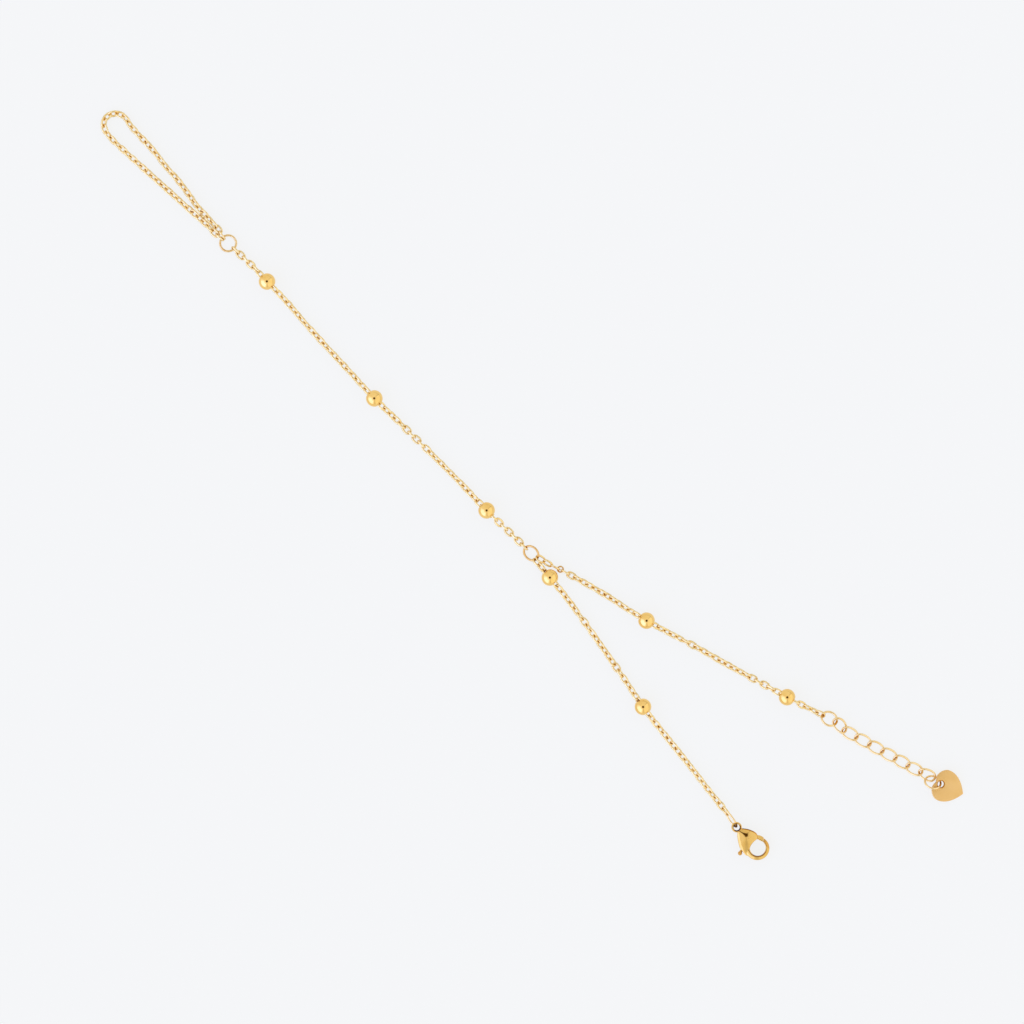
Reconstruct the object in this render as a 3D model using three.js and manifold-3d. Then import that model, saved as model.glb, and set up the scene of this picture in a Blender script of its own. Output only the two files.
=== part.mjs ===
// A fine gold-tone hand chain, lying open on a flat surface.
// A finger loop, a run of chain over the hand, and two wrist arms that leave one centre ring.
// One arm ends in a lobster clasp with a sprung lever, the other in an extender with a heart tag.
// Millimetres, +Z up, resting on z = 0. +X runs from the finger loop to the clasp and the heart tag.
import * as THREE from "three";
import { mergeVertices } from "three/addons/utils/BufferGeometryUtils.js";
import Module from "manifold-3d";

const wasm = await Module();
wasm.setup();

// ---- driving dimensions ----

// Fine cable chain: each strand is one eight-sided rod as wide as its links.
const STRAND_WIDTH = 1.05; // across the corners of the section
const STRAND_SIDES = 8;
const STRAND_STEP = 4.1; // longest straight stretch between two sections

// Drilled ball beads, threaded on the chain.
const BEAD_RADIUS = 1.58;
const BEAD_BORE = 0.65; // radius of the drilled hole
const BEAD_SIDES = 20;
const BEAD_ARC_STEPS = 9;
const LEVEL_HALF = 1.7; // the chain runs level this far each side of a bead's middle
const RAMP = 3.2; // and comes down to the surface over this length

// Jump rings and extender links.
const RING_RADIUS = 1.51; // to the middle of the wire
const RING_WIRE = 0.42; // wire diameter
const THIN_RING_WIRE = 0.38; // for the heart's ring and the oval end link
const SMALL_RING_RADIUS = 0.53;
const SMALL_RING_WIRE = 0.3;
const LINK_HALF_LENGTH = 1.618; // to the middle of the wire
const LINK_HALF_WIDTH = 1.015;
const LINK_WIRE = 0.41;
const LINK_TWIST = 0.28; // how far the curb twist lifts and drops the wire
const LINK_PITCH = 2.784;
const END_LINK_HALF_LENGTH = 1.66;
const END_LINK_HALF_WIDTH = 0.84;
const END_LINK_SHORT_OF_EYE = 0.12; // how far its wire stays before the middle of the clasp's eye
const END_LINK_BEARING = -10.7; // degrees from +X
const END_LINK_ROLL = 65;

// Lobster clasp. Its own frame has the eye's centre as origin, +x along the clasp and +y towards the gate.
const CLASP_AT = [76.99, -16.3];
const CLASP_TURN = 1.2; // degrees from +X
const CLASP_THICKNESS = 2.3;
const EYE_HOLE = 0.57;
const EYE_OUTER = 1.0;
const EYE_THICKNESS = 0.7;
const HOOK_CENTRE = [5.56, -0.05];
const HOOK_INNER = 1.49;
const PIVOT = [2.9, 0.3];
const PIN_RADIUS = 0.3;
const PIN_CLEARANCE = 0.06;
const GATE_REACH = 2.8; // from the pivot to the end of the gate
const GATE_CLEARANCE = 0.07;
const LEVER_THICKNESS = 1.0;
const SLOT_THICKNESS = 1.12;

// Heart tag. Its own frame has the hole's centre as origin and +x towards the tip.
const HEART_AT = [98.456, 16.69];
const HEART_TURN = 21.2;
const HEART_THICKNESS = 0.45;
const HEART_HOLE = 0.63;
const HEART_TIP = 4.78; // from the hole's centre to the tip
const HEART_RING_AT = [97.182, 15.879];
const HEART_RING_TURN = 32.5; // towards the hole
const HEART_RING_TILT = 42.3;

const degrees = THREE.MathUtils.degToRad;
const strandRadius = STRAND_WIDTH / 2;
const strandRest = strandRadius * Math.cos(Math.PI / STRAND_SIDES); // height of a strand lying flat

// ---- places ----

// Where the beads sit, in plan.
const beads = [
  { name: "bead_1", x: -58.48, y: -6.15 },
  { name: "bead_2", x: -28.57, y: -7.42 },
  { name: "bead_3", x: 1.35, y: -7.39 },
  { name: "bead_4", x: 18.74, y: -7.9 },
  { name: "bead_5", x: 48.41, y: -12.72 },
  { name: "bead_6", x: 37.38, y: -0.76 },
  { name: "bead_7", x: 66.35, y: 7.78 },
];

// Jump rings: centre in plan, the direction of the axis they lean on, and the lean (its left side rises).
const rings = [
  { name: "finger_ring", x: -68.85, y: -6.24, turn: 0, tilt: 0, lift: 0.36 },
  { name: "centre_ring", x: 13.0, y: -7.16, turn: 0, tilt: 39, lift: 0 },
  { name: "extender_ring", x: 74.9, y: 10.55, turn: 19.8, tilt: -34.9, lift: 0 },
];

// Chain routes in plan: the points are chosen by hand and joined by one smooth curve.
// startHeight and endHeight are the heights at which the strand meets its ring.
const strands = [
  {
    name: "finger_loop_chain",
    startHeight: 0.55,
    endHeight: 0.55,
    everyPoint: true,
    route: [
      [-70.75, -6.8],
      [-72.8, -6.72],
      [-75.2, -6.68],
      [-78.4, -6.9],
      [-82.7, -7.12],
      [-86.9, -7.36],
      [-91.2, -7.6],
      [-94.8, -7.76],
      [-97.6, -7.86],
      [-99.7, -7.72],
      [-101.2, -7.1],
      [-101.86, -6.0],
      [-101.72, -4.72],
      [-100.85, -3.68],
      [-99.4, -3.24],
      [-97.5, -3.58],
      [-94.9, -3.73],
      [-91.2, -3.86],
      [-87.6, -4.3],
      [-84.1, -4.52],
      [-80.9, -4.95],
      [-77.8, -5.46],
      [-75.2, -5.55],
      [-72.8, -5.62],
      [-70.75, -5.68],
    ],
  },
  {
    name: "hand_chain",
    startHeight: 0.55,
    endHeight: 1.17,
    beads: ["bead_1", "bead_2", "bead_3"],
    route: [
      [-67.0, -6.2],
      [-62.8, -6.05],
      [-58.48, -6.15],
      [-53.76, -6.22],
      [-47.98, -6.64],
      [-42.19, -6.93],
      [-36.39, -7.14],
      [-28.57, -7.42],
      [-21.04, -7.3],
      [-12.31, -7.22],
      [-6.49, -7.22],
      [1.35, -7.39],
      [6.5, -7.28],
      [11.15, -7.2],
    ],
  },
  {
    name: "clasp_arm_chain",
    startHeight: 1.45,
    endHeight: 0.95,
    beads: ["bead_4", "bead_5"],
    route: [
      [14.95, -7.58],
      [18.74, -7.9],
      [23.4, -8.36],
      [29.3, -9.26],
      [35.1, -10.24],
      [41.0, -11.3],
      [48.41, -12.72],
      [52.6, -13.3],
      [57.9, -13.87],
      [63.2, -14.46],
      [68.6, -15.14],
      [73.1, -15.65],
    ],
  },
  {
    name: "extender_lead_chain",
    startHeight: 0.75,
    endHeight: 0.52,
    route: [
      [14.95, -6.7],
      [16.7, -6.28],
      [18.33, -5.74],
    ],
  },
  {
    name: "extender_arm_chain",
    startHeight: 0.52,
    endHeight: 0.92,
    beads: ["bead_6", "bead_7"],
    route: [
      [19.95, -5.14],
      [23.7, -4.1],
      [28.9, -2.72],
      [33.3, -1.78],
      [37.38, -0.76],
      [41.9, 0.56],
      [47.6, 2.34],
      [53.3, 3.92],
      [59.1, 5.63],
      [66.35, 7.78],
      [70.0, 8.93],
      [73.05, 9.94],
    ],
  },
];

// Extender links: the bearing from each link's centre to the next one, in degrees.
const extenderStart = [76.955, 10.774];
const extenderBearings = [12, 16.4, 16.1, 16.4, 16.4, 15.7, 20.5];

// The first and the last two links are propped by the rings that they hold: shift in plan, height, angles.
const proppedLinks = {
  extender_link_1: { x: 0.262, y: 0.341, height: 0.915, turn: -5, pitch: 16, roll: -5.2 },
  extender_link_7: { x: -0.044, y: -0.015, height: 0.485, turn: 18.5, pitch: 0, roll: 0 },
  extender_link_8: { x: -0.229, y: -0.081, height: 0.711, turn: 18.5, pitch: 0.4, roll: 17.3 },
};

// ---- materials ----

function gold(color, roughness) {
  return new THREE.MeshStandardMaterial({ color, roughness, metalness: 1 });
}
const polishedGold = () => gold(0xf2c66d, 0.16);
const wireGold = () => gold(0xe9c27a, 0.22);
const castGold = () => gold(0xddb063, 0.26);
const satinGold = () => gold(0xe2ba79, 0.45);

const part = new THREE.Group();

function addPiece(name, geometry, material, parent = part) {
  const mesh = new THREE.Mesh(geometry, material);
  mesh.name = name;
  parent.add(mesh);
  return mesh;
}

// ---- solids for joining and cutting ----

function solidFrom(geometry) {
  const bare = geometry.clone();
  bare.deleteAttribute("normal");
  bare.deleteAttribute("uv");
  const merged = mergeVertices(bare, 1e-4);
  const mesh = new wasm.Mesh({
    numProp: 3,
    vertProperties: merged.getAttribute("position").array,
    triVerts: new Uint32Array(merged.index.array),
  });
  return new wasm.Manifold(mesh);
}

function geometryFrom(solid) {
  const mesh = solid.getMesh();
  const geometry = new THREE.BufferGeometry();
  geometry.setAttribute("position", new THREE.BufferAttribute(new Float32Array(mesh.vertProperties), 3));
  geometry.setIndex(new THREE.BufferAttribute(new Uint32Array(mesh.triVerts), 1));
  geometry.computeVertexNormals();
  return geometry;
}

// A plate cut from an outline, centred on z = 0.
function plate(shape, thickness, curveSegments = 8) {
  const geometry = new THREE.ExtrudeGeometry(shape, {
    depth: thickness,
    bevelEnabled: false,
    curveSegments,
  });
  return geometry.translate(0, 0, -thickness / 2);
}

function upright(radius, height, sides = 20) {
  return new THREE.CylinderGeometry(radius, radius, height, sides).rotateX(Math.PI / 2);
}

// ---- fine chain ----

// A route whose sections stand exactly on its own points.
class ListedRoute extends THREE.CatmullRomCurve3 {
  getPointAt(share, target) {
    return this.getPoint(share, target);
  }
  getTangentAt(share, target) {
    return this.getTangent(share, target);
  }
}

function strandSection() {
  const shape = new THREE.Shape();
  for (let i = 0; i < STRAND_SIDES; i++) {
    const angle = ((i + 0.5) / STRAND_SIDES) * 2 * Math.PI;
    const x = strandRadius * Math.cos(angle);
    const y = strandRadius * Math.sin(angle);
    if (i === 0) shape.moveTo(x, y);
    else shape.lineTo(x, y);
  }
  return shape;
}

// Distance along a plan curve of the point nearest to a bead.
function distanceOfBead(curve, length, bead) {
  const samples = 2000;
  const centre = new THREE.Vector3(bead.x, bead.y, 0);
  let best = 0;
  let nearest = Infinity;
  for (let i = 0; i <= samples; i++) {
    const gap = curve.getPointAt(i / samples).distanceTo(centre);
    if (gap < nearest) {
      nearest = gap;
      best = (i / samples) * length;
    }
  }
  return best;
}

// Sections stand level through each bead, at the foot of each ramp, and evenly between those.
function sectionDistances(length, beadDistances) {
  const fixed = [0, length];
  for (const along of beadDistances) {
    for (const offset of [-LEVEL_HALF - RAMP, -LEVEL_HALF, LEVEL_HALF, LEVEL_HALF + RAMP]) {
      const place = along + offset;
      if (place > 1 && place < length - 1) fixed.push(place);
    }
  }
  fixed.sort((a, b) => a - b);
  const all = [0];
  for (let i = 1; i < fixed.length; i++) {
    const span = fixed[i] - fixed[i - 1];
    const pieces = Math.max(1, Math.round(span / STRAND_STEP));
    for (let k = 1; k <= pieces; k++) all.push(fixed[i - 1] + (span * k) / pieces);
  }
  return all;
}

// Height of the strand: at rest on the surface, up in a bead, and at its ring's height at each end.
function strandHeight(along, length, strand, beadDistances) {
  const fade = (gap) => 1 - THREE.MathUtils.clamp(gap / RAMP, 0, 1);
  let height = strandRest;
  height = Math.max(height, strandRest + (strand.startHeight - strandRest) * fade(along));
  height = Math.max(height, strandRest + (strand.endHeight - strandRest) * fade(length - along));
  for (const place of beadDistances) {
    const gap = Math.max(0, Math.abs(along - place) - LEVEL_HALF);
    height = Math.max(height, strandRest + (BEAD_RADIUS - strandRest) * fade(gap));
  }
  return height;
}

function strandGeometry(strand) {
  const plan = new THREE.CatmullRomCurve3(strand.route.map(([x, y]) => new THREE.Vector3(x, y, 0)));
  plan.arcLengthDivisions = 1000;
  const length = plan.getLength();
  const threaded = beads.filter((bead) => (strand.beads ?? []).includes(bead.name));
  const beadDistances = threaded.map((bead) => distanceOfBead(plan, length, bead));
  let points;
  if (strand.everyPoint) {
    points = strand.route.map(([x, y]) => new THREE.Vector3(x, y, strandRest));
    points[0].z = strand.startHeight;
    points[points.length - 1].z = strand.endHeight;
  } else {
    points = sectionDistances(length, beadDistances).map((along) => {
      const point = plan.getPointAt(along / length);
      point.z = strandHeight(along, length, strand, beadDistances);
      return point;
    });
  }
  return new THREE.ExtrudeGeometry(strandSection(), {
    steps: points.length - 1,
    extrudePath: new ListedRoute(points),
  });
}

for (const strand of strands) addPiece(strand.name, strandGeometry(strand), wireGold());

// ---- beads ----

// A ball with a straight hole through it, turned round its own Y axis.
function beadGeometry() {
  const rim = Math.acos(BEAD_BORE / BEAD_RADIUS);
  const profile = [];
  for (let i = 0; i <= BEAD_ARC_STEPS; i++) {
    const angle = -rim + (2 * rim * i) / BEAD_ARC_STEPS;
    profile.push(new THREE.Vector2(BEAD_RADIUS * Math.cos(angle), BEAD_RADIUS * Math.sin(angle)));
  }
  profile.push(profile[0].clone());
  return new THREE.LatheGeometry(profile, BEAD_SIDES);
}

// Direction of the chain where it passes a bead, in plan.
function chainBearing(bead) {
  const strand = strands.find((one) => (one.beads ?? []).includes(bead.name));
  const plan = new THREE.CatmullRomCurve3(strand.route.map(([x, y]) => new THREE.Vector3(x, y, 0)));
  plan.arcLengthDivisions = 1000;
  const length = plan.getLength();
  const tangent = plan.getTangentAt(distanceOfBead(plan, length, bead) / length);
  return Math.atan2(tangent.y, tangent.x);
}

for (const bead of beads) {
  const mesh = addPiece(bead.name, beadGeometry(), polishedGold());
  mesh.position.set(bead.x, bead.y, BEAD_RADIUS);
  mesh.rotation.z = chainBearing(bead) - Math.PI / 2;
}

// ---- jump rings ----

function ringGeometry(radius, wire, sides = 8, steps = 22) {
  return new THREE.TorusGeometry(radius, wire / 2, sides, steps);
}

// Lays a ring down in plan, leaning on the axis that it is turned to.
function placeRing(mesh, ring, radius, wire) {
  mesh.rotation.order = "ZXY";
  mesh.rotation.z = degrees(ring.turn);
  mesh.rotation.x = degrees(ring.tilt);
  const height = radius * Math.sin(Math.abs(degrees(ring.tilt))) + wire / 2 + ring.lift;
  mesh.position.set(ring.x, ring.y, height);
}

for (const ring of rings) {
  const mesh = addPiece(ring.name, ringGeometry(RING_RADIUS, RING_WIRE), wireGold());
  placeRing(mesh, ring, RING_RADIUS, RING_WIRE);
}

const smallRingGeometry = ringGeometry(SMALL_RING_RADIUS, SMALL_RING_WIRE, 8, 16);
const joiningRing = addPiece("joining_ring", smallRingGeometry, wireGold());
const joiningPlace = { x: 19.06, y: -5.39, turn: 20, tilt: 0, lift: 0.36 };
placeRing(joiningRing, joiningPlace, SMALL_RING_RADIUS, SMALL_RING_WIRE);

// ---- extender links ----

// An oval of round wire. The twist lifts the wire on one side of each end and drops it on the other.
function ovalGeometry(halfLength, halfWidth, wire, twist, sides = 8, steps = 20) {
  const geometry = new THREE.TorusGeometry(halfLength, wire / 2, sides, steps);
  const position = geometry.getAttribute("position");
  for (let i = 0; i < position.count; i++) {
    const x = position.getX(i);
    const y = position.getY(i);
    const angle = Math.atan2(y, x);
    const outward = Math.hypot(x, y) - halfLength;
    const normal = new THREE.Vector2(halfWidth * Math.cos(angle), halfLength * Math.sin(angle)).normalize();
    position.setXYZ(
      i,
      halfLength * Math.cos(angle) + outward * normal.x,
      halfWidth * Math.sin(angle) + outward * normal.y,
      position.getZ(i) - twist * Math.sin(2 * angle),
    );
  }
  geometry.computeVertexNormals();
  return geometry;
}

const linkCentre = new THREE.Vector2(...extenderStart);
for (let i = 0; i <= extenderBearings.length; i++) {
  const before = extenderBearings[Math.max(0, i - 1)];
  const after = extenderBearings[Math.min(extenderBearings.length - 1, i)];
  const name = "extender_link_" + (i + 1);
  const turn = (before + after) / 2;
  const flat = { x: 0, y: 0, height: LINK_TWIST + LINK_WIRE / 2, turn, pitch: 0, roll: 0 };
  const pose = proppedLinks[name] ?? flat;
  const geometry = ovalGeometry(LINK_HALF_LENGTH, LINK_HALF_WIDTH, LINK_WIRE, LINK_TWIST);
  const link = addPiece(name, geometry, wireGold());
  link.position.set(linkCentre.x + pose.x, linkCentre.y + pose.y, pose.height);
  link.rotation.set(degrees(pose.roll), degrees(pose.pitch), degrees(pose.turn), "ZYX");
  linkCentre.x += LINK_PITCH * Math.cos(degrees(after));
  linkCentre.y += LINK_PITCH * Math.sin(degrees(after));
}

// ---- heart tag and its ring ----

function heartShape() {
  const side = (mirror) => [
    [-1.12, 0.3 * mirror, -1.3, 0.6 * mirror, -1.3, 1.05 * mirror],
    [-1.3, 1.75 * mirror, -0.5, 3.05 * mirror, 0.65, 3.05 * mirror],
    [1.9, 3.05 * mirror, 3.4, 2.34 * mirror, HEART_TIP, 0],
  ];
  const notch = -1.0;
  const shape = new THREE.Shape();
  shape.moveTo(notch, 0);
  for (const curve of side(-1)) shape.bezierCurveTo(...curve);
  const points = shape.getPoints(6);
  const upper = new THREE.Shape();
  upper.moveTo(notch, 0);
  for (const curve of side(1)) upper.bezierCurveTo(...curve);
  const back = upper.getPoints(6).reverse().slice(1, -1);
  const whole = new THREE.Shape([...points, ...back]);
  const hole = new THREE.Path();
  hole.absarc(0, 0, HEART_HOLE, 0, 2 * Math.PI, true);
  whole.holes.push(hole);
  return whole;
}

const heartRingHeight = RING_RADIUS * Math.sin(degrees(HEART_RING_TILT)) + THIN_RING_WIRE / 2;
const heartRing = addPiece("heart_ring", ringGeometry(RING_RADIUS, THIN_RING_WIRE), wireGold());
// Its left side goes down, under the heart's left lobe.
const heartRingPlace = {
  x: HEART_RING_AT[0],
  y: HEART_RING_AT[1],
  turn: HEART_RING_TURN,
  tilt: -HEART_RING_TILT,
  lift: 0,
};
placeRing(heartRing, heartRingPlace, RING_RADIUS, THIN_RING_WIRE);

// The tag hangs on its ring at the hole and rests on the surface with its tip.
const heart = addPiece("heart_tag", plate(heartShape(), HEART_THICKNESS, 5), satinGold());
const heartSlope = Math.asin((heartRingHeight - HEART_THICKNESS / 2) / HEART_TIP);
heart.rotation.order = "ZYX";
heart.rotation.z = degrees(HEART_TURN);
heart.rotation.y = heartSlope;
heart.position.set(HEART_AT[0], HEART_AT[1], heartRingHeight);

// ---- lobster clasp ----

const clasp = new THREE.Group();
clasp.position.set(CLASP_AT[0], CLASP_AT[1], CLASP_THICKNESS / 2);
clasp.rotation.z = degrees(CLASP_TURN);
part.add(clasp);

// The drop-shaped middle, thick, with rounded rims and flat sides.
function claspDrop() {
  const rim = 0.42;
  const shape = new THREE.Shape();
  shape.moveTo(0.7, -0.5);
  shape.lineTo(1.05, -0.9);
  shape.lineTo(1.9, -1.5);
  shape.lineTo(2.7, -2.05);
  shape.lineTo(3.3, -2.38);
  shape.lineTo(4.45, -2.58);
  shape.lineTo(5.1, -2.55);
  shape.lineTo(5.1, -1.3);
  shape.lineTo(4.62, -0.85);
  shape.lineTo(4.42, 0);
  shape.lineTo(4.3, 1.05);
  shape.lineTo(4.02, 1.74);
  shape.quadraticCurveTo(3.3, 1.9, 2.5, 1.58);
  shape.quadraticCurveTo(1.7, 1.25, 1.1, 0.84);
  shape.lineTo(0.7, 0.5);
  shape.closePath();
  const geometry = new THREE.ExtrudeGeometry(shape, {
    depth: CLASP_THICKNESS - 2 * rim,
    bevelEnabled: true,
    bevelThickness: rim,
    bevelSize: rim * 0.8,
    bevelOffset: -rim * 0.8,
    bevelSegments: 3,
    curveSegments: 5,
  });
  return geometry.translate(0, 0, -(CLASP_THICKNESS - 2 * rim) / 2);
}

// The hook: a bar bent round the mouth, wider and thicker towards the middle of the clasp.
function claspHook() {
  const from = degrees(-124);
  const to = degrees(104);
  const geometry = new THREE.CylinderGeometry(1, 1, 1, 12, 16);
  const position = geometry.getAttribute("position");
  for (let i = 0; i < position.count; i++) {
    const share = position.getY(i) + 0.5;
    const angle = from + (to - from) * share;
    const width = THREE.MathUtils.lerp(0.93, 0.64, share);
    const thick = THREE.MathUtils.lerp(1.9, 1.25, share);
    const radius = HOOK_INNER + width / 2 + (position.getX(i) * width) / 2;
    position.setXYZ(
      i,
      HOOK_CENTRE[0] + radius * Math.cos(angle),
      HOOK_CENTRE[1] + radius * Math.sin(angle),
      (position.getZ(i) * thick) / 2,
    );
  }
  return geometry;
}

function claspEye() {
  const wall = EYE_OUTER - EYE_HOLE;
  const geometry = new THREE.TorusGeometry((EYE_OUTER + EYE_HOLE) / 2, wall / 2, 8, 20);
  return geometry.scale(1, 1, EYE_THICKNESS / wall);
}

// The slot in which the lever turns: open at the mouth and along the lower edge, closed over the shoulder.
function leverSlot() {
  const [px, py] = PIVOT;
  const reach = GATE_REACH + GATE_CLEARANCE;
  const low = -1.22;
  const shape = new THREE.Shape();
  shape.moveTo(2.1, -4);
  shape.lineTo(4.42, -4);
  shape.lineTo(4.42, low);
  shape.lineTo(px + Math.sqrt(reach ** 2 - (low - py) ** 2), low);
  shape.absarc(px, py, reach, Math.asin((low - py) / reach), degrees(58), false);
  shape.lineTo(3.86, 2.6);
  shape.lineTo(3.78, 1.72);
  shape.lineTo(3.3, 1.34);
  shape.lineTo(2.8, 1.08);
  shape.lineTo(2.1, 1.0);
  shape.closePath();
  return plate(shape, SLOT_THICKNESS, 16);
}

// Everything the gate sweeps past the end of the hook, through the full thickness.
function gateSweep() {
  const [px, py] = PIVOT;
  const reach = GATE_REACH + GATE_CLEARANCE;
  const shape = new THREE.Shape();
  shape.moveTo(4.2, 2.9);
  shape.lineTo(4.8, 1.2);
  shape.absarc(px, py, reach, degrees(19), degrees(58), false);
  shape.closePath();
  return plate(shape, 2 * CLASP_THICKNESS, 16);
}

function pinBore(length) {
  return upright(PIN_RADIUS + PIN_CLEARANCE, length, 16).translate(PIVOT[0], PIVOT[1], 0);
}

const claspBody = solidFrom(claspDrop())
  .add(solidFrom(claspHook()))
  .add(solidFrom(claspEye()))
  .subtract(solidFrom(leverSlot()))
  .subtract(solidFrom(gateSweep()))
  .subtract(solidFrom(pinBore(2 * CLASP_THICKNESS)));
addPiece("clasp_body", geometryFrom(claspBody), castGold(), clasp);

// The lever: gate, arm past the pin, and thumb tab, cut from one plate.
function leverShape() {
  const [px, py] = PIVOT;
  const shape = new THREE.Shape();
  shape.moveTo(2.27, 0.25);
  shape.quadraticCurveTo(2.3, -0.15, 2.6, -0.42);
  shape.lineTo(3.42, -2.2);
  shape.quadraticCurveTo(3.55, -2.55, 3.46, -2.85);
  shape.absarc(3.88, -3.1, 0.42, degrees(150), degrees(20), false);
  shape.lineTo(4.25, -2.2);
  shape.quadraticCurveTo(3.7, -1.0, 3.66, 0.1);
  shape.quadraticCurveTo(3.85, 0.85, 4.5, 1.12);
  shape.absarc(px, py, GATE_REACH, degrees(24), degrees(40.5), false);
  shape.quadraticCurveTo(4.5, 2.08, 4.05, 1.82);
  shape.lineTo(3.35, 1.24);
  shape.quadraticCurveTo(2.95, 0.98, 2.62, 0.88);
  shape.quadraticCurveTo(2.3, 0.7, 2.27, 0.25);
  return shape;
}

const leverPlate = solidFrom(plate(leverShape(), LEVER_THICKNESS, 6));
const lever = leverPlate.subtract(solidFrom(pinBore(2 * LEVER_THICKNESS)));
addPiece("clasp_lever", geometryFrom(lever), castGold(), clasp);

const pin = addPiece("clasp_pin", upright(PIN_RADIUS, CLASP_THICKNESS - 0.06, 16), castGold(), clasp);
pin.position.set(PIVOT[0], PIVOT[1], 0);

// The oval end link holds the eye, rolled on its side.
const endLinkGeometry = ovalGeometry(END_LINK_HALF_LENGTH, END_LINK_HALF_WIDTH, THIN_RING_WIRE, 0);
const endLink = addPiece("clasp_end_link", endLinkGeometry, wireGold());
endLink.rotation.set(degrees(END_LINK_ROLL), 0, degrees(END_LINK_BEARING), "ZYX");
endLink.position.set(
  CLASP_AT[0] - (END_LINK_HALF_LENGTH + END_LINK_SHORT_OF_EYE) * Math.cos(degrees(END_LINK_BEARING)),
  CLASP_AT[1] - (END_LINK_HALF_LENGTH + END_LINK_SHORT_OF_EYE) * Math.sin(degrees(END_LINK_BEARING)),
  CLASP_THICKNESS / 2,
);

export default part;
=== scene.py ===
import math

import bmesh
import bpy
import numpy as np
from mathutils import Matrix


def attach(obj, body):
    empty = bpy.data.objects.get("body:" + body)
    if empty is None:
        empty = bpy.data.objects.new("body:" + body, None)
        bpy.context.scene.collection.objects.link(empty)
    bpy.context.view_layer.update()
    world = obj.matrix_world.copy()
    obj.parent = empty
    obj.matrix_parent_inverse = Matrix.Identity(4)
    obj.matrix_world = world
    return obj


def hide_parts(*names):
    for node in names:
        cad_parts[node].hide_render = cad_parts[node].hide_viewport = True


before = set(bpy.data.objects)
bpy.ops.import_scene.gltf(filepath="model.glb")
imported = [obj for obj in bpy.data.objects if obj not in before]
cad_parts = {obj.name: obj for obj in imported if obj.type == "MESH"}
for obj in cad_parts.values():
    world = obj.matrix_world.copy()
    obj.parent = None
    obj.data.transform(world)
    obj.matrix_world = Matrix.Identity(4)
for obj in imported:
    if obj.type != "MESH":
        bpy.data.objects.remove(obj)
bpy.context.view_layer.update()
print("frame loaded:", len(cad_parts), "CAD nodes")

# Shapes are worked out in millimetres and put into the meshes in metres.
millimetre = 0.001
randomTurns = np.random.default_rng(11)


# Camera: straight above, turned so that the chain runs from corner to corner.

cameraView = {
    "centre": (4.945, -4.21),  # where the middle of the picture meets the surface
    "pictureWidth": 193.5,
    "height": 1000.0,
    "turn": 45.0,
}


def makeCamera(view):
    data = bpy.data.cameras.new("camera")
    data.sensor_width = 36.0
    data.lens = data.sensor_width * view["height"] / view["pictureWidth"]
    data.clip_start = 0.01
    data.clip_end = 50.0
    camera = bpy.data.objects.new("camera", data)
    camera.location = [c * millimetre for c in (*view["centre"], view["height"])]
    camera.rotation_euler = (0.0, 0.0, math.radians(view["turn"]))
    bpy.context.scene.collection.objects.link(camera)
    bpy.context.scene.camera = camera


makeCamera(cameraView)


# Finishes for the record's material slots.

noiseSpan = (0.3, 0.7)  # most of a noise's values lie between these

goldFinishes = {
    "beadGold": {
        "slot": "polished_gold", "light": (0.955, 0.65, 0.225), "deep": (0.89, 0.555, 0.155),
        "cloudSize": 1.6, "roughness": (0.07, 0.13), "grainSize": 0.10, "grainDepth": 0.0002,
    },
    "chainGold": {
        "slot": "wire_gold", "light": (0.97, 0.79, 0.425), "deep": (0.915, 0.67, 0.28),
        "cloudSize": 1.1, "roughness": (0.14, 0.22), "grainSize": 0.07, "grainDepth": 0.0005,
    },
    "ringGold": {  # jump rings, extender links and the oval end link
        "slot": "wire_gold", "light": (0.955, 0.745, 0.41), "deep": (0.88, 0.63, 0.275),
        "cloudSize": 1.4, "roughness": (0.22, 0.32), "grainSize": 0.08, "grainDepth": 0.0007,
    },
    "claspGold": {
        "slot": "cast_gold", "light": (0.835, 0.54, 0.165), "deep": (0.75, 0.448, 0.11),
        "cloudSize": 2.2, "roughness": (0.09, 0.14), "grainSize": 0.09, "grainDepth": 0.0004,
    },
    "heartGold": {
        "slot": "satin_gold", "light": (0.855, 0.56, 0.225), "deep": (0.80, 0.50, 0.175),
        "cloudSize": 3.0, "roughness": (0.42, 0.52), "grainSize": 0.06, "grainDepth": 0.0022,
    },
}
# What the gold is multiplied by as the mesh's stored darkening rises: first a painted second reflection in
# gold, then painted shade.
darkeningTints = [(0.0, (1.0, 1.0, 1.0)), (0.6, (0.70, 0.42, 0.04)), (1.0, (0.12, 0.06, 0.01))]


def feed(node, values):
    # Sets numbers and colours on the node's own sockets, and links other nodes' outputs to them.
    for socket, value in values.items():
        if isinstance(value, bpy.types.NodeSocket):
            node.id_data.links.new(value, node.inputs[socket])
        else:
            node.inputs[socket].default_value = value


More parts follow.
